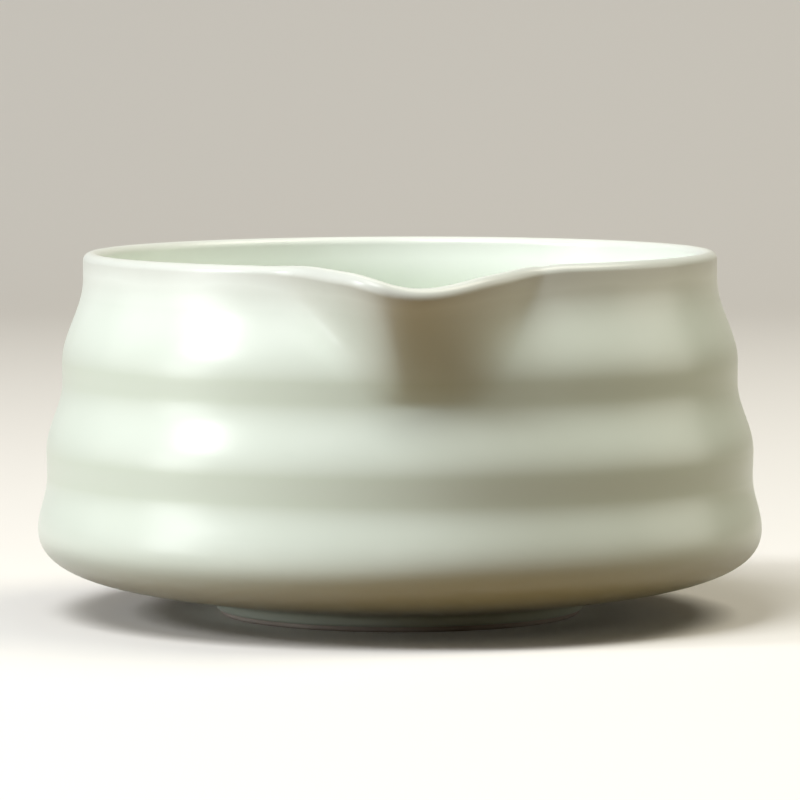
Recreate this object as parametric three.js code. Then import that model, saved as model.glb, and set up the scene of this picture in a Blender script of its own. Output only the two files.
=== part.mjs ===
// A wide tea bowl with a pouring lip: a porcelain bowl whose wall climbs in three swells, the foot ring
// luted under it, and the glaze coats that cover them. Millimetres, +Z up. The origin lies in the plane
// that the foot stands on, under the middle of the outline with the lip, which points to -Y. The axis
// that the bowl is turned on stands a little behind it.
import * as THREE from 'three';
import { mergeVertices } from 'three/addons/utils/BufferGeometryUtils.js';

// Foot ring, measured over the glaze
const footRadius = 31.5;
const footHeight = 2.8;
const footDraft = 0.25;
const footWidth = 4.4;
const footCorner = 0.6;
const bareEdge = 0.9;

// Well inside the foot ring: how far it is turned up past the ring's seat, and its slope and corner
const wellRecess = 2.2;
const wellDraft = 0.15;
const wellFillet = 1.2;

// Underside, from the foot out to the belly
const undersideRise = 12;
const undersideSlope = 0.18;
const undersideRun = 12.7;
const bellyRound = 9.2;
const bellyRadius = 62.5;

// Outside of the wall above the belly: slopes with a nearly upright groove between each two. The upper
// slope takes what is left of the height up to the rim's outer edge.
const rimHeight = 61.2;
const lowerSlope = 9.1;
const lowerGroove = 4.5;
const lowerGrooveRadius = 60.9;
const lowerGrooveOverhang = 0.1;
const middleSlope = 11.9;
const upperGroove = 3.3;
const upperGrooveRadius = 58.2;
const upperGrooveOverhang = 0.05;
const neckHeight = 3.2;
const neckRadius = 54.6;

// Rim and wall thickness over both glazes, measured square to the outside
const rimWall = 2.9;
const rimRound = 1.4;
const bellyWall = 4.6;

// Inside corner and floor
const insideCorner = 5;
const insideCornerPull = 5;
const floorThickness = 4.4;
const floorRadius = 38;
const floorCornerPull = 11;
const floorDish = 0.6;

// Glaze: it runs thin towards the rim and pools where the foot meets the underside
const glaze = 0.55;
const rimGlaze = 0.3;
const thinGlaze = 7;
const glazePool = 0.9;

// Pouring lip: how far it reaches out at the rim, and the width along the rim of its left and right
// flank, with what is left of each at the root and how sharply it falls away from the keel. The keel
// runs from one side at the root to another at the rim, and the rim dips beside it.
const lipReach = 13;
const lipLeftFlank = 26;
const lipLeftRoot = 0.5;
const lipLeftSharpness = 1.8;
const lipRightFlank = 26.8;
const lipRightRoot = 0.65;
const lipRightSharpness = 0.8;
const lipKeelRootSide = 1.6;
const lipKeelRimSide = -2;
const lipDip = 3.4;
const lipDipSide = 2.7;
const lipDipLeft = 17.2;
const lipDipRight = 22.5;

// The rim is a little uneven, as the kiln left it: its high side lies behind and to the right
const rimRise = 0.22;
const rimHighSide = 2.46;

// Faceting: points round the bowl, crowded towards the lip, and steps along the sections
const around = 44;
const crowding = 0.6;
const rimSteps = 3;
const slopeSteps = 4;
const grooveSteps = 1;
const undersideSteps = 5;
const cornerSteps = 4;
const floorSteps = 2;
const poolSteps = 2;
const nudge = 1e-3;

const { lerp } = THREE.MathUtils;
const ease = (t) => (1 - Math.cos(Math.PI * t)) / 2;
const point = (radius, height) => new THREE.Vector2(radius, height);
const steps = (from, to, count) => Array.from({ length: count }, (_, i) => lerp(from, to, (i + 1) / count));

// Heights of the wall, each worked out from the one below it
const bellyHeight = footHeight + undersideRise;
const upperGrooveTop = bellyHeight + lowerSlope + lowerGroove + middleSlope + upperGroove;
const wallKnots = [
  [bellyHeight, bellyRadius, slopeSteps],
  [lowerSlope, lowerGrooveRadius, slopeSteps],
  [lowerGroove, lowerGrooveRadius + lowerGrooveOverhang, grooveSteps],
  [middleSlope, upperGrooveRadius, slopeSteps],
  [upperGroove, upperGrooveRadius + upperGrooveOverhang, grooveSteps],
  [rimHeight - neckHeight - upperGrooveTop, neckRadius, slopeSteps],
  [neckHeight, neckRadius, grooveSteps],
].reduce((knots, [rise, radius, count]) => {
  const below = knots.at(-1)?.height ?? 0;
  return [...knots, { height: below + rise, radius, count }];
}, []);
const lipRoot = wallKnots[3];

// Half of what the lip adds to the outline's depth
const axisBack = (neckRadius + lipReach - bellyRadius) / 2;

// Outside radius of the wall at a height: every stretch eases in and out, so it swells and narrows
function wallRadius(height) {
  const index = wallKnots.findIndex((knot) => knot.height > height);
  if (index < 0) return neckRadius;
  if (index === 0) return bellyRadius;
  const [low, high] = [wallKnots[index - 1], wallKnots[index]];
  return lerp(low.radius, high.radius, ease((height - low.height) / (high.height - low.height)));
}

// Outside section: s runs from -1 at the rim through 0 at the belly to 1 where the foot begins
const footSide = (height) => footRadius + footDraft * height;
const footTop = point(footSide(footHeight), footHeight);
const underside = new THREE.CubicBezierCurve(
  point(bellyRadius, bellyHeight),
  point(bellyRadius, bellyHeight - bellyRound),
  point(footTop.x + undersideRun, footTop.y + undersideRun * undersideSlope),
  footTop,
);
const heightAt = (s) => lerp(bellyHeight, rimHeight, -s);
const sectionAt = (height) => -(height - bellyHeight) / (rimHeight - bellyHeight);
const outside = (s) => (s <= 0 ? point(wallRadius(heightAt(s)), heightAt(s)) : underside.getPoint(s));

// 1 at a line and 0 past the left or right width beside it, eased in and out
const flank = (across, left, right) => ease(1 - Math.min(1, Math.abs(across) / (across < 0 ? left : right)));

// Pouring lip: from the upper groove to the rim, the wall is drawn towards one line that leans out
function lip(angle, height) {
  const grown = Math.max(0, (height - lipRoot.height) / (rimHeight - lipRoot.height));
  const leaning = lerp(lipRoot.radius, neckRadius + lipReach, grown);
  const way = angle * neckRadius;
  const across = way - lerp(lipKeelRootSide, lipKeelRimSide, grown);
  const left = lipLeftFlank * lerp(lipLeftRoot, 1, grown);
  const right = lipRightFlank * lerp(lipRightRoot, 1, grown);
  const swell = flank(across, left, right) ** (across < 0 ? lipLeftSharpness : lipRightSharpness);
  const out = grown > 0 ? (leaning - wallRadius(height)) * swell : 0;
  return { out, down: lipDip * grown ** 2 * flank(way - lipDipSide, lipDipLeft, lipDipRight) };
}

// Glazed outside as a surface: angles run from -PI to PI, with 0 at the lip and +X on the positive side
const outward = (angle) => new THREE.Vector3(Math.sin(angle), -Math.cos(angle), 0);
const axisAt = (height) => new THREE.Vector3(0, axisBack, height);
const turned = (flat, angle) => axisAt(flat.y).addScaledVector(outward(angle), flat.x);

function surface(s, angle) {
  const flat = outside(s);
  const { out, down } = lip(angle, flat.y);
  const climbed = Math.max(0, (flat.y - bellyHeight) / (rimHeight - bellyHeight));
  const uneven = rimRise * Math.cos(angle - rimHighSide) * climbed ** 3;
  return turned(point(flat.x + out, flat.y - down + uneven), angle);
}

const roundTheBowl = (s, angle) => surface(s, angle + nudge).sub(surface(s, angle - nudge));
const downTheWall = (s, angle) => surface(s + nudge, angle).sub(surface(s - nudge, angle));
const normal = (s, angle) => downTheWall(s, angle).cross(roundTheBowl(s, angle)).normalize();
const below = (s, angle, depth) => surface(s, angle).addScaledVector(normal(s, angle), -depth);

// Radius and height under the glazed outside at the back of the bowl, away from the lip
const flatBelow = (s, depth) => {
  const place = below(s, Math.PI, depth);
  return point(place.y - axisBack, place.z);
};

// Rounded rim, square to the way it runs: tilt is 0 at the outer side, 1/2 at the crest, 1 inside
function rim(tilt, angle, depth) {
  const out = normal(-1, angle);
  const up = out.clone().cross(roundTheBowl(-1, angle)).normalize();
  const turn = Math.PI * tilt;
  return below(-1, angle, rimWall / 2)
    .addScaledVector(out, (rimWall / 2 - depth) * Math.cos(turn))
    .addScaledVector(up, (rimRound - depth) * Math.sin(turn));
}

// Inside section: it follows the outside down to the inside corner, then rounds into the dished floor
const wallAt = (s) => lerp(bellyWall, rimWall, -s);
const cornerStart = sectionAt(bellyHeight + insideCorner);
const insideFlat = (s) => flatBelow(s, wallAt(s));
const cornerWay = insideFlat(cornerStart + nudge).sub(insideFlat(cornerStart - nudge)).normalize();

// Foot: its seat under the bowl lies where the bare underside runs into the bare side of the ring. A
// corner takes no more than its share of the side that it stands on.
const cornerShare = 0.8;
const bareSide = (height) => footSide(height) - glaze;
const bareEnd = flatBelow(1, glaze);
const seatRise = undersideSlope * (footRadius - glaze - bareEnd.x);
const seatHeight = (bareEnd.y + seatRise) / (1 - undersideSlope * footDraft);
const wellDepth = seatHeight + wellRecess;
const wellSide = (height) => footRadius - glaze - footWidth - wellDraft * height;
const wellCorner = Math.min(wellFillet, wellRecess * cornerShare - glaze);
const corner = Math.min(footCorner, bareEdge * cornerShare);
const cornerMiddle = corner * (1 - Math.SQRT1_2);

const floorHeight = wellDepth + floorThickness;
const dishAt = (radius) => floorHeight + floorDish * (radius / floorRadius) ** 2;
const cornerFrom = insideFlat(cornerStart);
const insideBend = new THREE.CubicBezierCurve(
  cornerFrom,
  cornerFrom.clone().addScaledVector(cornerWay, insideCornerPull),
  point(floorRadius + floorCornerPull, dishAt(floorRadius) + floorCornerPull * 2 * floorDish / floorRadius),
  point(floorRadius, dishAt(floorRadius)),
);

// A flat curve's point, moved square to the curve: to the right of the way the curve runs
function beside(curve, t, distance) {
  const way = curve(t + nudge).sub(curve(t - nudge)).normalize();
  return curve(t).add(point(way.y, -way.x).multiplyScalar(distance));
}

// A round corner between two straight sides of a section, from one side to the other
const bend = (from, knee, to) => {
  const curve = new THREE.QuadraticBezierCurve(from, knee, to);
  return (t) => curve.getPoint(t);
};

// Rings of points: a ring goes once round the bowl, and a ring on the axis is a single place
const turns = Array.from({ length: around }, (_, i) => Math.PI * ((2 * i) / around - 1));
const angles = turns.map((turn) => turn - crowding * Math.sin(turn));
const ring = (place) => angles.map(place);
const turnedRing = (flat) => ring((angle) => turned(flat, angle));

const wallSections = wallKnots.slice(1).reverse().flatMap((knot, i, upper) => {
  const low = upper[i + 1] ?? wallKnots[0];
  return steps(sectionAt(knot.height), sectionAt(low.height), knot.count);
});
const glazeAt = (s) => lerp(glaze, rimGlaze, Math.max(0, 1 - (rimHeight - heightAt(s)) / thinGlaze));
const coatAt = (s) => (s < 0 ? glazeAt(s) : glaze);
const crestRing = (depth) => ring((angle) => rim(1 / 2, angle, depth));

// Outside: the glazed face and the porcelain under it, from the crest of the rim to the bare edge
const rimOutside = steps(1 / 2, 0, rimSteps);
const poolStart = 1 - glazePool / (3 * undersideRun);
const poolEnd = footHeight - glazePool;
const poolBend = bend(outside(poolStart), footTop, point(footSide(poolEnd), poolEnd));
const outsideGlazeEnd = turnedRing(point(bareSide(bareEdge), bareEdge));
const seatOutside = turnedRing(point(bareSide(seatHeight), seatHeight));
const outsideFace = [
  crestRing(0),
  ...rimOutside.map((tilt) => ring((angle) => rim(tilt, angle, 0))),
  ...wallSections.map((s) => ring((angle) => surface(s, angle))),
  ...steps(0, poolStart, undersideSteps).map((s) => ring((angle) => surface(s, angle))),
  ...steps(0, 1, poolSteps).map((t) => turnedRing(poolBend(t))),
  turnedRing(point(footSide(bareEdge + glaze), bareEdge + glaze)),
  outsideGlazeEnd,
];
const outsidePorcelain = [
  crestRing(rimGlaze),
  ...rimOutside.map((tilt) => ring((angle) => rim(tilt, angle, rimGlaze))),
  ...wallSections.map((s) => ring((angle) => below(s, angle, coatAt(s)))),
  ...steps(0, 1, undersideSteps).map((s) => ring((angle) => below(s, angle, glaze))),
  seatOutside,
];
const footOutside = [seatOutside, outsideGlazeEnd];

// Inside: the glazed face and the porcelain under it, from the crest of the rim to the axis
const rimInside = steps(1 / 2, 1, rimSteps);
const insideSections = wallSections.filter((s) => s < cornerStart).concat(cornerStart);
const floorAt = (t) => point(floorRadius * (1 - t), dishAt(floorRadius * (1 - t)));
const insideRings = (coat, crestDepth) => [
  crestRing(crestDepth),
  ...rimInside.map((tilt) => ring((angle) => rim(tilt, angle, crestDepth))),
  ...insideSections.map((s) => ring((angle) => below(s, angle, wallAt(s) - coat(s)))),
  ...steps(0, 1, cornerSteps).map((t) => turnedRing(beside((u) => insideBend.getPoint(u), t, -coat(0)))),
  ...steps(0, 1, floorSteps).map((t) => turnedRing(floorAt(t).sub(point(0, coat(0))))),
];
const insideFace = insideRings(() => 0, 0);
const insidePorcelain = insideRings(coatAt, rimGlaze);

// Well: the ring's bare edge, its seat, and the hollow turned out of the bowl's base
const wellGlazeEnd = turnedRing(point(wellSide(bareEdge), bareEdge));
const seatInside = turnedRing(point(wellSide(seatHeight), seatHeight));
const bareFoot = [
  outsideGlazeEnd,
  turnedRing(point(bareSide(corner), corner)),
  turnedRing(point(bareSide(0) - cornerMiddle, cornerMiddle)),
  turnedRing(point(bareSide(0) - corner, 0)),
  turnedRing(point(wellSide(0) + corner, 0)),
  turnedRing(point(wellSide(0) + cornerMiddle, cornerMiddle)),
  turnedRing(point(wellSide(corner), corner)),
  wellGlazeEnd,
];
const wellRings = (side, top, radius) => {
  const knee = point(side(top), top);
  const turn = bend(point(side(top - radius), top - radius), knee, point(knee.x - radius, top));
  return [...[0, 1 / 2, 1].map((t) => turnedRing(turn(t))), turnedRing(point(0, top))];
};
const wellFace = [
  wellGlazeEnd,
  turnedRing(point(wellSide(bareEdge + glaze) - glaze, bareEdge + glaze)),
  ...wellRings((height) => wellSide(height) - glaze, wellDepth, wellCorner),
];
const wellPorcelain = [seatInside, ...wellRings(wellSide, wellDepth + glaze, wellCorner + glaze)];
const footInside = [wellGlazeEnd, seatInside];
const seat = [seatOutside, seatInside];
const crest = [crestRing(0), crestRing(rimGlaze)];

// One skin of triangles over rings that follow one another. Two pieces that touch use the same skin,
// one from each side. The shorter diagonal splits each four-sided patch.
function skin(rings, side) {
  const triangles = [];
  const add = (a, b, c) => {
    if (a.distanceTo(b) < nudge || b.distanceTo(c) < nudge || c.distanceTo(a) < nudge) return;
    triangles.push(...(side > 0 ? [a, b, c] : [a, c, b]));
  };
  for (let row = 1; row < rings.length; row += 1) {
    for (let i = 0; i < around; i += 1) {
      const next = (i + 1) % around;
      const [a, b] = [rings[row - 1][i], rings[row - 1][next]];
      const [c, d] = [rings[row][i], rings[row][next]];
      if (a.distanceTo(d) < b.distanceTo(c)) {
        add(a, c, d);
        add(a, d, b);
      } else {
        add(a, c, b);
        add(b, c, d);
      }
    }
  }
  return triangles;
}

function piece(name, material, skins) {
  const soup = new THREE.BufferGeometry().setFromPoints(skins.flatMap(([rings, side]) => skin(rings, side)));
  const geometry = mergeVertices(soup, nudge);
  geometry.computeVertexNormals();
  const mesh = new THREE.Mesh(geometry, material);
  mesh.name = name;
  return mesh;
}

const porcelain = new THREE.MeshStandardMaterial({ color: '#f3f0e8', roughness: 0.6, metalness: 0 });
const bisque = new THREE.MeshStandardMaterial({ color: '#cbc3b8', roughness: 0.75, metalness: 0 });
const celadon = new THREE.MeshStandardMaterial({ color: '#dde6d8', roughness: 0.22, metalness: 0 });
const pooledCeladon = new THREE.MeshStandardMaterial({ color: '#d0dfc9', roughness: 0.18, metalness: 0 });
const footCeladon = new THREE.MeshStandardMaterial({ color: '#c9d3c2', roughness: 0.3, metalness: 0 });

const bowl = new THREE.Group();
bowl.add(
  piece('porcelain_bowl', porcelain, [
    [outsidePorcelain, 1],
    [seat, 1],
    [wellPorcelain, 1],
    [insidePorcelain, -1],
  ]),
  piece('foot_ring', bisque, [
    [footOutside, 1],
    [bareFoot, 1],
    [footInside, 1],
    [seat, -1],
  ]),
  piece('outside_glaze', celadon, [
    [outsideFace, 1],
    [outsidePorcelain, -1],
    [footOutside, -1],
    [crest, -1],
  ]),
  piece('inside_glaze', pooledCeladon, [
    [insideFace, -1],
    [insidePorcelain, 1],
    [crest, 1],
  ]),
  piece('foot_well_glaze', footCeladon, [
    [wellFace, 1],
    [footInside, -1],
    [wellPorcelain, -1],
  ]),
);

export default bowl;
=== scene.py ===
"""Looks of a wide celadon tea bowl with a pouring lip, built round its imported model.

Sizes are in millimetres, as on the maker's drawing, and mesh_of turns them to metres. The bowl stands
on its foot at the origin, +Z is up, and the lip points to -Y, towards the camera.
"""
import math

import bpy
import numpy as np
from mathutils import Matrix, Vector


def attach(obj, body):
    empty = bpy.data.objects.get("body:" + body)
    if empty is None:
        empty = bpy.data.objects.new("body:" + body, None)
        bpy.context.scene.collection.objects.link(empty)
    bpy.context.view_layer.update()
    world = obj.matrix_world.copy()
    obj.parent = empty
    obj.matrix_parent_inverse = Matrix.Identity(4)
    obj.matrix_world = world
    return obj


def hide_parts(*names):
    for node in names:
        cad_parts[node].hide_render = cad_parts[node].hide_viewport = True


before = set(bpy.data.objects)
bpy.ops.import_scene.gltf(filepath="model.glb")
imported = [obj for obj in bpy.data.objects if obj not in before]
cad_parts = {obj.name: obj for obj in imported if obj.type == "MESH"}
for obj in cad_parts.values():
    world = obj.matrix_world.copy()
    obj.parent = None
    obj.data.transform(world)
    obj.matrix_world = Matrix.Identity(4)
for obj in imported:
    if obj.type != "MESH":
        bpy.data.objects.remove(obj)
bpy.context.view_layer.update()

# Sizes of the bowl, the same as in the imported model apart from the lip's, which are refined a little
FOOT_RADIUS = 31.5
FOOT_HEIGHT = 2.8
FOOT_DRAFT = 0.25
FOOT_WIDTH = 4.4
FOOT_CORNER = 0.6
BARE_EDGE = 0.9
WELL_RECESS = 2.2
WELL_DRAFT = 0.15
WELL_FILLET = 1.2
UNDERSIDE_RISE = 12.0
UNDERSIDE_SLOPE = 0.18
UNDERSIDE_RUN = 12.7
BELLY_ROUND = 9.2
BELLY_RADIUS = 62.5
LOWER_SLOPE = 9.1
LOWER_GROOVE = 4.5
LOWER_GROOVE_RADIUS = 60.9
LOWER_GROOVE_OVERHANG = 0.1
MIDDLE_SLOPE = 11.9
UPPER_GROOVE = 3.3
UPPER_GROOVE_RADIUS = 58.2
UPPER_GROOVE_OVERHANG = 0.05
RIM_HEIGHT = 61.2
NECK_HEIGHT = 3.2
NECK_RADIUS = 54.6
RIM_WALL = 2.9
RIM_ROUND = 1.4
BELLY_WALL = 4.6
INSIDE_CORNER = 5.0
INSIDE_CORNER_PULL = 5.0
FLOOR_THICKNESS = 4.4
FLOOR_RADIUS = 38.0
FLOOR_CORNER_PULL = 11.0
FLOOR_DISH = 0.6
GLAZE = 0.55
RIM_GLAZE = 0.3
THIN_GLAZE = 7.0
GLAZE_POOL = 0.9
LIP_REACH = 14.1
LIP_LEFT_FLANK = 23.2
LIP_LEFT_ROOT = 0.37
LIP_LEFT_SHARPNESS = 1.8
LIP_RIGHT_FLANK = 26.2
LIP_RIGHT_ROOT = 0.48
LIP_RIGHT_SHARPNESS = 0.78
LIP_KEEL_ROOT_SIDE = 1.65
LIP_KEEL_RIM_SIDE = -1.65
LIP_DIP = 1.7
LIP_DIP_SIDE = 2.1
LIP_DIP_LEFT = 10.3
LIP_DIP_RIGHT = 12.3
LIP_SAG = 2.1
LIP_SAG_SIDE = 8.4
LIP_SAG_LEFT = 34.0
LIP_SAG_RIGHT = 21.6
RIM_RISE = 0.22
RIM_HIGH_SIDE = 2.46

# How finely the surfaces are laid out
AROUND = 340
CROWDING = 0.45
RIM_STEPS = 18
WALL_STEPS = 66
UNDERSIDE_STEPS = 26
CORNER_STEPS = 20
FLOOR_STEPS = 12
BEND_STEPS = 6
NUDGE = 1e-4
CREASE = math.radians(40)
MM = 0.001


def ease(t):
    """0 to 1 with a level start and end."""
    return (1 - np.cos(np.pi * np.asarray(t, float))) / 2


def lerp(a, b, t):
    return a + (b - a) * t


def steps(start, stop, count):
    """Evenly spaced values after start, up to and with stop."""
    return np.linspace(start, stop, count + 1)[1:]


# Heights and radii of the wall, each height worked out from the one below it
BELLY_HEIGHT = FOOT_HEIGHT + UNDERSIDE_RISE
LIP_ROOT = BELLY_HEIGHT + LOWER_SLOPE + LOWER_GROOVE + MIDDLE_SLOPE
UPPER_SLOPE = RIM_HEIGHT - NECK_HEIGHT - UPPER_GROOVE - LIP_ROOT
KNOT_HEIGHTS = np.cumsum(
    [BELLY_HEIGHT, LOWER_SLOPE, LOWER_GROOVE, MIDDLE_SLOPE, UPPER_GROOVE, UPPER_SLOPE, NECK_HEIGHT]
)
KNOT_RADII = np.array(
    [
        BELLY_RADIUS,
        LOWER_GROOVE_RADIUS,
        LOWER_GROOVE_RADIUS + LOWER_GROOVE_OVERHANG,
        UPPER_GROOVE_RADIUS,
        UPPER_GROOVE_RADIUS + UPPER_GROOVE_OVERHANG,
        NECK_RADIUS,
        NECK_RADIUS,
    ]
)

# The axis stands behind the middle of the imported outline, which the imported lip's reach makes longer
PACKED_REACH = 13.0
AXIS_BACK = (NECK_RADIUS + PACKED_REACH - BELLY_RADIUS) / 2


def wall_radius(height):
    """Outside radius at a height: every stretch eases in and out, so the wall swells and narrows."""
    low = np.clip(np.searchsorted(KNOT_HEIGHTS, height, side="right") - 1, 0, len(KNOT_HEIGHTS) - 2)
    share = (height - KNOT_HEIGHTS[low]) / (KNOT_HEIGHTS[low + 1] - KNOT_HEIGHTS[low])
    return lerp(KNOT_RADII[low], KNOT_RADII[low + 1], ease(np.clip(share, 0, 1)))


def cubic(knots, t):
    """Points of a Bezier curve through the first and last of four knots."""
    a, b, c, d = (np.array(knot, float) for knot in knots)
    t = np.asarray(t, float)[..., None]
    return a * (1 - t) ** 3 + 3 * b * (1 - t) ** 2 * t + 3 * c * (1 - t) * t**2 + d * t**3


def foot_side(height):
    return FOOT_RADIUS + FOOT_DRAFT * height


FOOT_TOP = (foot_side(FOOT_HEIGHT), FOOT_HEIGHT)

# The underside is one curve from the belly to the foot. It ends at a pace of three times its last run.
UNDERSIDE_PACE = 3 * UNDERSIDE_RUN
UNDERSIDE = (
    (BELLY_RADIUS, BELLY_HEIGHT),
    (BELLY_RADIUS, BELLY_HEIGHT - BELLY_ROUND),
    (FOOT_TOP[0] + UNDERSIDE_RUN, FOOT_TOP[1] + UNDERSIDE_RUN * UNDERSIDE_SLOPE),
    FOOT_TOP,
)


def section_at(height):
    return -(height - BELLY_HEIGHT) / (RIM_HEIGHT - BELLY_HEIGHT)


def height_at(s):
    return lerp(BELLY_HEIGHT, RIM_HEIGHT, -s)


def outside(s):
    """Radius and height of the outside section: s is -1 at the rim, 0 at the belly, 1 at the foot."""
    s = np.asarray(s, float)
    height = height_at(np.minimum(s, 0))
    wall = np.stack([wall_radius(height), height], -1)
    return np.where((s <= 0)[..., None], wall, cubic(UNDERSIDE, np.maximum(s, 0)))


def flank(across, left, right):
    """1 at a line and 0 past the left or right width beside it, eased in and out."""
    return ease(1 - np.minimum(1, np.abs(across) / np.where(across < 0, left, right)))


def lip(angle, height):
    """How far the pouring lip draws the wall out and down.

    From the upper groove to the rim, the wall is drawn towards one straight line that leans out.
    """
    grown = np.maximum(0, (height - LIP_ROOT) / (RIM_HEIGHT - LIP_ROOT))
    leaning = lerp(UPPER_GROOVE_RADIUS, NECK_RADIUS + LIP_REACH, grown)
    way = angle * NECK_RADIUS
    across = way - lerp(LIP_KEEL_ROOT_SIDE, LIP_KEEL_RIM_SIDE, grown)
    left = LIP_LEFT_FLANK * lerp(LIP_LEFT_ROOT, 1, grown)
    right = LIP_RIGHT_FLANK * lerp(LIP_RIGHT_ROOT, 1, grown)
    swell = flank(across, left, right) ** np.where(across < 0, LIP_LEFT_SHARPNESS, LIP_RIGHT_SHARPNESS)
    out = np.where(grown > 0, leaning - wall_radius(height), 0) * swell
    sag = LIP_SAG * flank(way - LIP_SAG_SIDE, LIP_SAG_LEFT, LIP_SAG_RIGHT)
    dip = LIP_DIP * flank(way - LIP_DIP_SIDE, LIP_DIP_LEFT, LIP_DIP_RIGHT)
    return out, (sag + dip) * grown**2


def turned(radius, height, angle):
    """Points at these radii and heights, at angles that start at the lip and grow towards +X."""
    radius, height, angle = np.broadcast_arrays(radius, height, angle)
    return np.stack([radius * np.sin(angle), AXIS_BACK - radius * np.cos(angle), height], -1)


def surface(s, angle):
    """Points of the glazed outside, with the lip and the rim's slight rise at one side."""
    flat = outside(s)
    radius, height = flat[..., 0], flat[..., 1]
    out, down = lip(angle, height)
    climbed = np.maximum(0, (height - BELLY_HEIGHT) / (RIM_HEIGHT - BELLY_HEIGHT))
    uneven = RIM_RISE * np.cos(angle - RIM_HIGH_SIDE) * climbed**3
    return turned(radius + out, height - down + uneven, angle)


def unit(vectors):
    return vectors / np.linalg.norm(vectors, axis=-1, keepdims=True)


def round_the_bowl(s, angle):
    return surface(s, angle + NUDGE) - surface(s, angle - NUDGE)


def normal(s, angle):
    down_the_wall = surface(s + NUDGE, angle) - surface(s - NUDGE, angle)
    return unit(np.cross(down_the_wall, round_the_bowl(s, angle)))


def below(s, angle, depth):
    """Points under the glazed outside, this deep and square to it."""
    return surface(s, angle) - normal(s, angle) * np.asarray(depth)[..., None]


def rim(tilt, angle, depth):
    """Rounded rim, square to the way it runs: tilt is 0 at its outer side, 1/2 at the crest, 1 inside."""
    out = normal(-1.0, angle)
    up = unit(np.cross(out, round_the_bowl(-1.0, angle)))
    turn = np.pi * tilt[..., None]
    across = out * ((RIM_WALL / 2 - depth) * np.cos(turn))
    return below(-1.0, angle, RIM_WALL / 2) + across + up * ((RIM_ROUND - depth) * np.sin(turn))


def wall_at(s):
    """Thickness of the glazed wall, thinner towards the rim."""
    return lerp(BELLY_WALL, RIM_WALL, -s)


def flat_below(s, depth):
    """Radius and height under the glazed outside at the back of the bowl, away from the lip."""
    point = below(np.float64(s), np.float64(np.pi), depth)
    return np.array([point[1] - AXIS_BACK, point[2]])


def inside_flat(s):
    return flat_below(s, wall_at(s))


# The inside corner goes on from the wall's inside and rounds into the dished floor
CORNER_START = section_at(BELLY_HEIGHT + INSIDE_CORNER)
CORNER_FROM = inside_flat(CORNER_START)
CORNER_WAY = unit(inside_flat(CORNER_START + NUDGE) - inside_flat(CORNER_START - NUDGE))

# The foot's seat lies where the bare underside runs into the bare side of the ring
BARE_END = flat_below(1, GLAZE)
SEAT_HEIGHT = (BARE_END[1] + UNDERSIDE_SLOPE * (FOOT_RADIUS - GLAZE - BARE_END[0])) / (
    1 - UNDERSIDE_SLOPE * FOOT_DRAFT
)
WELL_DEPTH = SEAT_HEIGHT + WELL_RECESS
FLOOR_HEIGHT = WELL_DEPTH + FLOOR_THICKNESS
CORNER_SHARE = 0.8
CORNER = min(FOOT_CORNER, BARE_EDGE * CORNER_SHARE)
WELL_CORNER = min(WELL_FILLET, WELL_RECESS * CORNER_SHARE - GLAZE)


def bare_side(height):
    return foot_side(height) - GLAZE


def well_side(height):
    return FOOT_RADIUS - GLAZE - FOOT_WIDTH - WELL_DRAFT * height


def dish_at(radius):
    return FLOOR_HEIGHT + FLOOR_DISH * (radius / FLOOR_RADIUS) ** 2


FLOOR_EDGE = (FLOOR_RADIUS, dish_at(FLOOR_RADIUS))
INSIDE_BEND = (
    CORNER_FROM,
    CORNER_FROM + CORNER_WAY * INSIDE_CORNER_PULL,
    (
        FLOOR_RADIUS + FLOOR_CORNER_PULL,
        FLOOR_EDGE[1] + FLOOR_CORNER_PULL * 2 * FLOOR_DISH / FLOOR_RADIUS,
    ),
    FLOOR_EDGE,
)


def beside(knots, t, distance):
    """Points of a flat curve, moved square to it: to the right of the way it runs."""
    way = unit(cubic(knots, t + NUDGE) - cubic(knots, t - NUDGE))
    return cubic(knots, t) + np.stack([way[..., 1], -way[..., 0]], -1) * distance


def bend(start, knee, end, t):
    """A round corner between two straight sides of a section."""
    start, knee, end = (np.array(p, float) for p in (start, knee, end))
    t = np.asarray(t, float)[..., None]
    return start * (1 - t) ** 2 + 2 * knee * (1 - t) * t + end * t**2


# Angles round the bowl, which crowd together at the lip
EVEN_ANGLES = np.pi * (2 * np.arange(AROUND) / AROUND - 1)
ANGLES = EVEN_ANGLES - CROWDING * np.sin(EVEN_ANGLES)


def turned_rings(flat):
    """Rings of points for a list of radius and height."""
    flat = np.atleast_2d(np.array(flat, float))
    return turned(flat[:, :1], flat[:, 1:], ANGLES[None, :])


def coat_at(s):
    """Glaze thickness: it runs thin towards the rim."""
    thin = np.clip(1 - (RIM_HEIGHT - height_at(np.minimum(s, 0))) / THIN_GLAZE, 0, 1)
    return lerp(GLAZE, RIM_GLAZE, thin)


# Sections: a hair's breadth next to the crest keeps the two coats' shine in line where they meet
CREST_TILT = 0.5
HAIR = 0.002
BEND = np.linspace(0, 1, BEND_STEPS)
WALL_SECTIONS = steps(-1, 0, WALL_STEPS)
UNDERSIDE_SECTIONS = steps(0, 1, UNDERSIDE_STEPS)
POOL_START = 1 - GLAZE_POOL / UNDERSIDE_PACE
RIM_OUTSIDE = np.concatenate([[CREST_TILT, CREST_TILT - HAIR], steps(CREST_TILT, 0, RIM_STEPS)])
RIM_INSIDE = 1 - RIM_OUTSIDE
INSIDE_SECTIONS = np.append(WALL_SECTIONS[WALL_SECTIONS < CORNER_START], CORNER_START)


def at_depth(sections, depth):
    """Rings on or under the glazed outside at these sections."""
    depths = np.broadcast_to(depth, sections.shape)
    return below(sections[:, None], ANGLES[None, :], depths[:, None])


def rim_rings(tilts, depth):
    """Rings over the rounded rim at these tilts."""
    return rim(tilts[:, None], ANGLES[None, :], depth)


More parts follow.
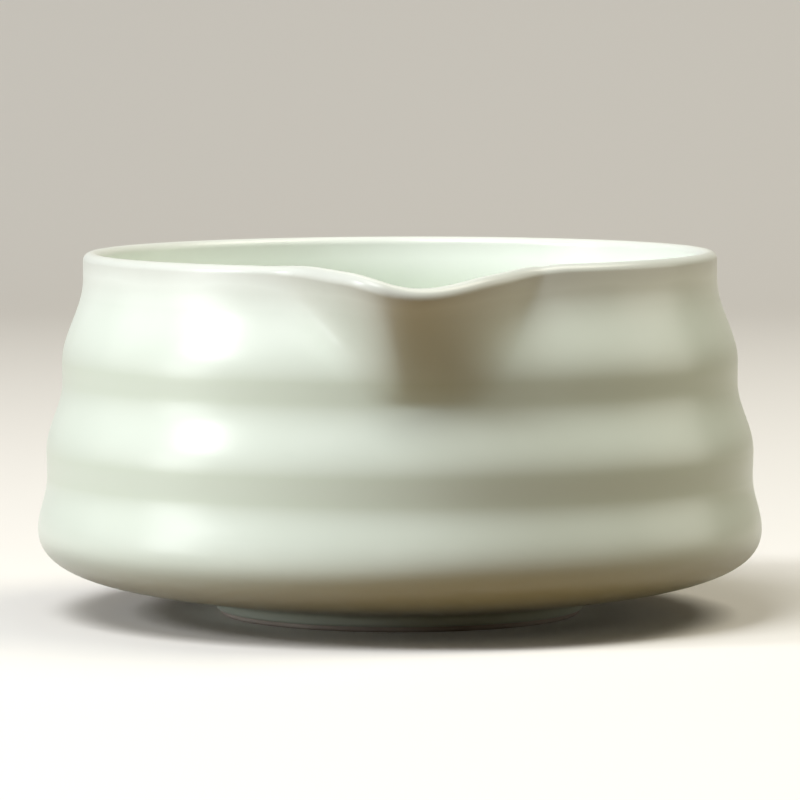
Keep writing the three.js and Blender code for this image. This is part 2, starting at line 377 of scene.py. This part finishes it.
outside_glaze_end = turned_rings([(bare_side(BARE_EDGE), BARE_EDGE)])
seat_outside = turned_rings([(bare_side(SEAT_HEIGHT), SEAT_HEIGHT)])
seat_inside = turned_rings([(well_side(SEAT_HEIGHT), SEAT_HEIGHT)])
well_glaze_end = turned_rings([(well_side(BARE_EDGE), BARE_EDGE)])


def outside_face():
    """The glazed outside, from the crest of the rim to where the glaze rolls in above the table."""
    sections = np.concatenate([WALL_SECTIONS, UNDERSIDE_SECTIONS * POOL_START])
    pool_foot = FOOT_HEIGHT - GLAZE_POOL
    pool = bend(outside(POOL_START), FOOT_TOP, (foot_side(pool_foot), pool_foot), steps(0, 1, BEND_STEPS))
    roll_top = BARE_EDGE + GLAZE
    roll = bend(
        (foot_side(roll_top), roll_top),
        (foot_side(BARE_EDGE), BARE_EDGE),
        (bare_side(BARE_EDGE), BARE_EDGE),
        BEND,
    )
    return np.concatenate(
        [rim_rings(RIM_OUTSIDE, 0), at_depth(sections, 0), turned_rings(pool), turned_rings(roll)]
    )


def outside_porcelain():
    """The porcelain under the outside glaze, from the crest of the rim to the foot's seat."""
    sections = np.concatenate([WALL_SECTIONS, UNDERSIDE_SECTIONS])
    coats = np.where(sections < 0, coat_at(sections), GLAZE)
    return np.concatenate([rim_rings(RIM_OUTSIDE, RIM_GLAZE), at_depth(sections, coats), seat_outside])


def inside_rings(glazed):
    """The glazed inside, or the porcelain under it, from the crest of the rim to the axis."""
    coats = np.zeros_like(INSIDE_SECTIONS) if glazed else coat_at(INSIDE_SECTIONS)
    floor = 0 if glazed else GLAZE
    wall = at_depth(INSIDE_SECTIONS, wall_at(INSIDE_SECTIONS) - coats)
    corner = beside(INSIDE_BEND, steps(0, 1, CORNER_STEPS), -floor)
    radii = FLOOR_RADIUS * (1 - steps(0, 1, FLOOR_STEPS))
    dish = np.stack([radii, dish_at(radii) - floor], -1)
    crest = rim_rings(RIM_INSIDE, 0 if glazed else RIM_GLAZE)
    return np.concatenate([crest, wall, turned_rings(corner), turned_rings(dish)])


def well_rings(side, top, radius):
    """The hollow under the bowl: its rounded corner and its flat ceiling."""
    knee = (side(top), top)
    turn = bend((side(top - radius), top - radius), knee, (knee[0] - radius, top), BEND)
    return turned_rings(np.vstack([turn, [(0, top)]]))


def bare_foot():
    """The bare edge that the bowl stands on, with its corners softened."""
    outer = bend((bare_side(CORNER), CORNER), (bare_side(0), 0), (bare_side(0) - CORNER, 0), BEND)
    inner = bend((well_side(0) + CORNER, 0), (well_side(0), 0), (well_side(CORNER), CORNER), BEND)
    return np.concatenate([outside_glaze_end, turned_rings(outer), turned_rings(inner), well_glaze_end])


def well_face():
    """The glazed face of the hollow under the bowl."""
    roll_top = BARE_EDGE + GLAZE
    roll = bend(
        (well_side(BARE_EDGE), BARE_EDGE),
        (well_side(BARE_EDGE) - GLAZE, BARE_EDGE),
        (well_side(roll_top) - GLAZE, roll_top),
        BEND,
    )
    well = well_rings(lambda height: well_side(height) - GLAZE, WELL_DEPTH, WELL_CORNER)
    return np.concatenate([turned_rings(roll), well])


def skin_faces(rows, first):
    """Four-sided faces over rings that follow one another, facing out on an outside."""
    row, column = np.meshgrid(np.arange(rows - 1), np.arange(AROUND), indexing="ij")
    ahead = (column + 1) % AROUND
    corners = [(row, column), (row + 1, column), (row + 1, ahead), (row, ahead)]
    return np.stack([down * AROUND + along for down, along in corners], -1).reshape(-1, 4) + first


# Points nearer to each other than a tenth of a micrometre are one point, given as digits of a mm
WELD_DIGITS = 4


def mesh_of(name, skins):
    """One closed mesh from skins of rings, each seen from outside (1) or inside (-1)."""
    points, faces, total = [], [], 0
    for rings, side in skins:
        points.append(rings.reshape(-1, 3))
        skin = skin_faces(len(rings), total)
        faces.append(skin if side > 0 else skin[:, ::-1])
        total += len(points[-1])
    points, faces = np.concatenate(points), np.concatenate(faces)
    rounded = np.round(points, WELD_DIGITS)
    first, which = np.unique(rounded, axis=0, return_index=True, return_inverse=True)[1:]
    faces = which.reshape(-1)[faces]
    corners = [tuple(dict.fromkeys(face)) for face in faces.tolist()]
    mesh = bpy.data.meshes.new(name)
    mesh.from_pydata((points[first] * MM).tolist(), [], [face for face in corners if len(face) > 2])
    mesh.polygons.foreach_set("use_smooth", np.ones(len(mesh.polygons), bool))
    mesh.set_sharp_from_angle(angle=CREASE)
    return mesh, points[first]


def hex_linear(code):
    """An sRGB hex colour as linear red, green, blue and alpha."""
    parts = [int(code[i : i + 2], 16) / 255 for i in (1, 3, 5)]
    return [p / 12.92 if p <= 0.04045 else ((p + 0.055) / 1.055) ** 2.4 for p in parts] + [1.0]


def add_node(tree, kind, settings=(), **links):
    """Adds a node.

    settings are pairs of a name and a value. A link's name is the input's, or in_ and its number, and
    its value is the output that feeds it.
    """
    node = tree.nodes.new(kind)
    for name, value in settings:
        if isinstance(name, str) and hasattr(node, name):
            setattr(node, name, value)
        else:
            node.inputs[name].default_value = value
    for name, output in links.items():
        place = int(name[3:]) if name.startswith("in_") else name.replace("_", " ")
        tree.links.new(output, node.inputs[place])
    return node


def new_material(name):
    """An empty material and its node tree."""
    material = bpy.data.materials.new(name)
    material.use_nodes = True
    tree = material.node_tree
    tree.nodes.clear()
    return material, tree


def ramp(tree, value, stops):
    """A colour ramp with (place, hex colour) stops."""
    stops = list(stops)
    node = add_node(tree, "ShaderNodeValToRGB", in_0=value)
    elements = node.color_ramp.elements
    while len(elements) < len(stops):
        elements.new(0.5)
    for element, (place, code) in zip(elements, stops):
        element.position = place
        element.color = hex_linear(code)
    return node.outputs["Color"]


# Celadon: a feldspar glaze fired in reduction over white porcelain. It is a soft, milky gloss. Where it
# lies thick, in the grooves and inside, it is greener, and it breaks to white where it runs thin. Below the
# rim this white is partly the thin glaze and partly painted light on the neck. The tones run from the crest
# of the rim to thin, even and pooled. The crest's tone is painted shade: it is greyer than the thin glaze
# below it, to hold back the white that the shine adds on the upturned crest.
CELADON_ROUGHNESS = 0.28
CELADON_IOR = 1.5
CELADON_SHINE = 0.38
TONE_DEPTHS = (0.0, 0.22, 0.45, 1.0)
OUTSIDE_TONES = ("#D5D9D1", "#EFF7EF", "#DDE7DB", "#D1DDCB")
INSIDE_TONES = ("#DFE3DB", "#F3F8F1", "#F0F6ED", "#D5E2D1")
WELL_TONES = ("#E9EAE2", "#DDE2D7", "#CDD6C6", "#BFCAB6")
CLOUD_SIZE = 14 * MM
CLOUD_SPREAD = 0.12
ORANGE_PEEL_SIZE = 2.2 * MM
ORANGE_PEEL_DEPTH = 0.012 * MM
ORANGE_PEEL_STRENGTH = 0.4


def celadon(name, tones):
    """Satin glaze whose tone follows its shown depth. It is faintly cloudy and dimpled like orange peel."""
    material, tree = new_material(name)
    place = add_node(tree, "ShaderNodeTexCoord").outputs["Object"]
    depth = add_node(tree, "ShaderNodeAttribute", [("attribute_name", "glaze_depth")]).outputs["Fac"]
    clouds = add_node(
        tree, "ShaderNodeTexNoise", [("Scale", 1 / CLOUD_SIZE), ("Detail", 3.0)], Vector=place
    ).outputs["Fac"]
    spread = add_node(
        tree,
        "ShaderNodeMath",
        [("operation", "MULTIPLY_ADD"), (1, CLOUD_SPREAD), (2, -CLOUD_SPREAD / 2)],
        in_0=clouds,
    ).outputs["Value"]
    mixed = add_node(tree, "ShaderNodeMath", [("operation", "ADD")], in_0=depth, in_1=spread)
    colour = ramp(tree, mixed.outputs["Value"], zip(TONE_DEPTHS, tones))
    peel = add_node(
        tree, "ShaderNodeTexNoise", [("Scale", 1 / ORANGE_PEEL_SIZE), ("Detail", 2.0)], Vector=place
    ).outputs["Fac"]
    bump = add_node(
        tree,
        "ShaderNodeBump",
        [("Strength", ORANGE_PEEL_STRENGTH), ("Distance", ORANGE_PEEL_DEPTH)],
        Height=peel,
    ).outputs["Normal"]
    shader = add_node(
        tree,
        "ShaderNodeBsdfPrincipled",
        [("Roughness", CELADON_ROUGHNESS), ("IOR", CELADON_IOR), ("Specular IOR Level", CELADON_SHINE)],
        Base_Color=colour,
        Normal=bump,
    )
    add_node(tree, "ShaderNodeOutputMaterial", Surface=shader.outputs["BSDF"])
    return material


# Bare fired porcelain: matt, a little pink and grey from the kiln, with a fine grain under the fingers
BISQUE_GRAIN = 0.5 * MM
BISQUE_GRAIN_DEPTH = 0.02 * MM
BISQUE_GRAIN_STRENGTH = 0.6
BISQUE_ROUGHNESS = 0.7
STAIN_PLACES = (0.3, 0.7)
BODY_TONES = ("#ECE7DD", "#F3F0E8")
FOOT_TONES = ("#BDB0A6", "#D8D0C6")


def bare_porcelain(name, tones):
    """Unglazed porcelain with a fine grain and faint stains."""
    material, tree = new_material(name)
    place = add_node(tree, "ShaderNodeTexCoord").outputs["Object"]
    grain = add_node(
        tree, "ShaderNodeTexNoise", [("Scale", 1 / BISQUE_GRAIN), ("Detail", 4.0)], Vector=place
    ).outputs["Fac"]
    stain = add_node(
        tree, "ShaderNodeTexNoise", [("Scale", 1 / CLOUD_SIZE), ("Detail", 2.0)], Vector=place
    ).outputs["Fac"]
    colour = ramp(tree, stain, zip(STAIN_PLACES, tones))
    bump = add_node(
        tree,
        "ShaderNodeBump",
        [("Strength", BISQUE_GRAIN_STRENGTH), ("Distance", BISQUE_GRAIN_DEPTH)],
        Height=grain,
    ).outputs["Normal"]
    shader = add_node(
        tree, "ShaderNodeBsdfPrincipled", [("Roughness", BISQUE_ROUGHNESS)], Base_Color=colour, Normal=bump
    )
    add_node(tree, "ShaderNodeOutputMaterial", Surface=shader.outputs["BSDF"])
    return material


# How the glaze's depth shows: 0 where it is thinnest, 1 where it pools. Even cover, a groove, and the
# underside or the floor each add a share. A groove is where the wall stands upright between swells.
COVER_SHARE = 0.45
GROOVE_SHARE = 0.35
UNDERSIDE_SHARE = 0.2
FLOOR_SHARE = 0.55
# How far below the rim the tone whitens: partly the glaze running thin, partly painted light on the neck
# under the rim
THIN_AND_LIT_RIM_SPAN = 5.5
GROOVE_SLOPE = 0.09
GROOVE_MARGIN = 3.0
UNDERSIDE_FADE = 8.0
FLOOR_FADE = 4.4
SLOPE_SPAN = 1.0
WELL_DEPTH_SHOWN = 0.5


def even_depth(points):
    """The hollow under the bowl is glazed evenly."""
    return np.full(len(points), WELL_DEPTH_SHOWN)


def glaze_depth(points, low_share, low_fade):
    """Shown depth of the glaze over the outside or inside, from its place on the bowl."""
    ahead = AXIS_BACK - points[:, 1]
    angle = np.arctan2(points[:, 0], ahead)
    height = points[:, 2]
    down = lip(angle, np.full_like(height, RIM_HEIGHT))[1]
    share = np.clip((height - LIP_ROOT) / (RIM_HEIGHT - LIP_ROOT), 0, 1)
    from_rim = RIM_HEIGHT + RIM_ROUND - down * share - height
    # Whitening towards the rim: the glaze runs thin there, and over the neck it is also painted light. At
    # the crest the depth comes to 0, which takes the greyer painted-shade tone
    thin = np.exp(-np.maximum(0, from_rim) / THIN_AND_LIT_RIM_SPAN)
    slope = np.abs(wall_radius(height + SLOPE_SPAN / 2) - wall_radius(height - SLOPE_SPAN / 2))
    above_belly = height > BELLY_HEIGHT + GROOVE_MARGIN
    under_neck = height < RIM_HEIGHT - NECK_HEIGHT - GROOVE_MARGIN
    groove = np.exp(-slope / GROOVE_SLOPE) * above_belly * under_neck
    low = ease(np.clip((BELLY_HEIGHT - height) / low_fade, 0, 1))
    return COVER_SHARE * (1 - thin) + GROOVE_SHARE * groove + low_share * low


def outside_depth(points):
    """The outside's glaze lies thicker under the belly."""
    return glaze_depth(points, UNDERSIDE_SHARE, UNDERSIDE_FADE)


def inside_depth(points):
    """The inside's glaze pools on the floor."""
    return glaze_depth(points, FLOOR_SHARE, FLOOR_FADE)


def show(name, skins, material, node, depth=None):
    """One piece of the bowl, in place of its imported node. depth gives how thick its glaze looks."""
    mesh, points = mesh_of(name, skins)
    if depth is not None:
        attribute = mesh.attributes.new("glaze_depth", "FLOAT", "POINT")
        attribute.data.foreach_set("value", depth(points).astype(np.float32))
    mesh.materials.append(material)
    piece = bpy.data.objects.new(name, mesh)
    bpy.context.scene.collection.objects.link(piece)
    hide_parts(node)
    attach(piece, "root")
    return piece


def make_bowl():
    under = outside_porcelain()
    inner = inside_rings(False)
    well = np.concatenate([seat_inside, well_rings(well_side, WELL_DEPTH + GLAZE, WELL_CORNER + GLAZE)])
    seat = np.concatenate([seat_outside, seat_inside])
    foot_outside = np.concatenate([seat_outside, outside_glaze_end])
    foot_inside = np.concatenate([well_glaze_end, seat_inside])
    tilt = np.array([CREST_TILT])
    crest = np.concatenate([rim_rings(tilt, 0), rim_rings(tilt, RIM_GLAZE)])
    outside_celadon = celadon("celadon_outside", OUTSIDE_TONES)
    inside_celadon = celadon("celadon_inside", INSIDE_TONES)
    well_celadon = celadon("celadon_well", WELL_TONES)
    body = bare_porcelain("fired_porcelain", BODY_TONES)
    foot = bare_porcelain("bare_foot_edge", FOOT_TONES)
    show(
        "porcelain_body",
        [(under, 1), (seat, 1), (well, 1), (inner, -1)],
        body,
        "porcelain_bowl",
    )
    show(
        "foot_ring_bare_edge",
        [(foot_outside, 1), (bare_foot(), 1), (foot_inside, 1), (seat, -1)],
        foot,
        "foot_ring",
    )
    show(
        "outside_glaze_coat",
        [(outside_face(), 1), (under, -1), (foot_outside, -1), (crest, -1)],
        outside_celadon,
        "outside_glaze",
        outside_depth,
    )
    show(
        "inside_glaze_coat",
        [(inside_rings(True), -1), (inner, 1), (crest, 1)],
        inside_celadon,
        "inside_glaze",
        inside_depth,
    )
    show(
        "foot_well_glaze_coat",
        [(well_face(), 1), (foot_inside, -1), (well, -1)],
        well_celadon,
        "foot_well_glaze",
        even_depth,
    )


make_bowl()

# Studio: a pale paper sweep in a dim room, three windows at the left and two at the right
SWEEP_NEAR = -1.6
SWEEP_FLAT = 0.9
SWEEP_BEND = 0.7
SWEEP_TOP = 2.4
SWEEP_HALF_WIDTH = 3.0
SWEEP_STEPS = 24
SWEEP_ROUGHNESS = 0.9
SWEEP_SEEN = "#E9E7E3"
SWEEP_BOUNCE = "#6C542C"
ROOM_SEEN = "#EFEDE9"
ROOM_FILL = "#FFDC82"
ROOM_FILL_LEVEL = 0.02


def seen_directly(tree):
    """1 for camera, glossy and transmission rays, 0 for the rest."""
    rays = add_node(tree, "ShaderNodeLightPath").outputs
    first = add_node(
        tree,
        "ShaderNodeMath",
        [("operation", "MAXIMUM")],
        in_0=rays["Is Camera Ray"],
        in_1=rays["Is Glossy Ray"],
    ).outputs["Value"]
    return add_node(
        tree, "ShaderNodeMath", [("operation", "MAXIMUM")], in_0=first, in_1=rays["Is Transmission Ray"]
    ).outputs["Value"]


def make_sweep():
    """A pale paper sweep under and behind the bowl. It bounces light like the dark wood of a table."""
    arc = np.linspace(0, np.pi / 2, SWEEP_STEPS)
    outline = [(SWEEP_NEAR, 0.0)]
    outline += [(SWEEP_FLAT + SWEEP_BEND * math.sin(a), SWEEP_BEND * (1 - math.cos(a))) for a in arc]
    outline.append((SWEEP_FLAT + SWEEP_BEND, SWEEP_TOP))
    verts = [(side * SWEEP_HALF_WIDTH, y, z) for y, z in outline for side in (-1, 1)]
    faces = [(2 * i, 2 * i + 1, 2 * i + 3, 2 * i + 2) for i in range(len(outline) - 1)]
    mesh = bpy.data.meshes.new("paper_sweep")
    mesh.from_pydata(verts, [], faces)
    mesh.polygons.foreach_set("use_smooth", np.ones(len(mesh.polygons), bool))
    material, tree = new_material("pale_paper")
    colour = add_node(
        tree,
        "ShaderNodeMix",
        [("data_type", "RGBA"), (6, hex_linear(SWEEP_BOUNCE)), (7, hex_linear(SWEEP_SEEN))],
        in_0=seen_directly(tree),
    )
    shader = add_node(
        tree, "ShaderNodeBsdfPrincipled", [("Roughness", SWEEP_ROUGHNESS)], Base_Color=colour.outputs[2]
    )
    add_node(tree, "ShaderNodeOutputMaterial", Surface=shader.outputs["BSDF"])
    mesh.materials.append(material)
    sweep = bpy.data.objects.new("paper_sweep", mesh)
    bpy.context.scene.collection.objects.link(sweep)


def make_room():
    """A room that looks pale and gives off little light."""
    world = bpy.data.worlds.new("room")
    bpy.context.scene.world = world
    world.use_nodes = True
    tree = world.node_tree
    tree.nodes.clear()
    seen = add_node(tree, "ShaderNodeBackground", [("Color", hex_linear(ROOM_SEEN)), ("Strength", 1.0)])
    fill = add_node(
        tree, "ShaderNodeBackground", [("Color", hex_linear(ROOM_FILL)), ("Strength", ROOM_FILL_LEVEL)]
    )
    mixed = add_node(
        tree,
        "ShaderNodeMixShader",
        in_0=seen_directly(tree),
        in_1=fill.outputs["Background"],
        in_2=seen.outputs["Background"],
    )
    add_node(tree, "ShaderNodeOutputWorld", Surface=mixed.outputs["Shader"])


WINDOW_DISTANCE = 1.5
BOWL_MIDDLE = np.array([0, 0, 0.03])


def window(name, azimuth, elevation, size, power, colour):
    """A square window that faces the bowl. Azimuth is from the lip's side, growing to the right."""
    light = bpy.data.lights.new(name, "AREA")
    light.size = size
    light.energy = power
    light.color = hex_linear(colour)[:3]
    item = bpy.data.objects.new(name, light)
    a, e = math.radians(azimuth), math.radians(elevation)
    way = np.array([math.sin(a) * math.cos(e), -math.cos(a) * math.cos(e), math.sin(e)])
    item.location = way * WINDOW_DISTANCE + BOWL_MIDDLE
    item.rotation_mode = "QUATERNION"
    item.rotation_quaternion = Vector(-way).to_track_quat("-Z", "Y")
    bpy.context.scene.collection.objects.link(item)


def make_windows():
    window("window_key", azimuth=-72, elevation=28, size=0.3, power=8.8, colour="#F8FAFF")
    window("window_low", azimuth=-75, elevation=8, size=0.5, power=5.2, colour="#FAFDFF")
    window("window_high", azimuth=-38, elevation=58, size=0.8, power=18.0, colour="#FDFEFF")
    window("right_window", azimuth=100, elevation=58, size=0.8, power=11.6, colour="#FFF9E6")
    window("right_window_low", azimuth=100, elevation=10, size=0.8, power=2.6, colour="#FFFDEE")


# Camera: level with the photograph's view, 0.93 m in front of the bowl's axis
CAMERA_DISTANCE = 0.927
CAMERA_HEIGHT = 0.1052
CAMERA_DOWN = 4.22
CAMERA_LENS = 242.06
CAMERA_SENSOR = 36
CAMERA_NEAR = 0.05
CAMERA_FAR = 50


def make_camera():
    """A long lens from a little above the rim, as in the photograph."""
    camera = bpy.data.cameras.new("view")
    camera.lens = CAMERA_LENS
    camera.sensor_width = CAMERA_SENSOR
    camera.clip_start = CAMERA_NEAR
    camera.clip_end = CAMERA_FAR
    item = bpy.data.objects.new("view", camera)
    item.location = (0, AXIS_BACK * MM - CAMERA_DISTANCE, CAMERA_HEIGHT)
    item.rotation_euler = (math.radians(90 - CAMERA_DOWN), 0, 0)
    bpy.context.scene.collection.objects.link(item)
    bpy.context.scene.camera = item


make_sweep()
make_room()
make_windows()
make_camera()
bpy.context.scene.view_settings.view_transform = "Standard"
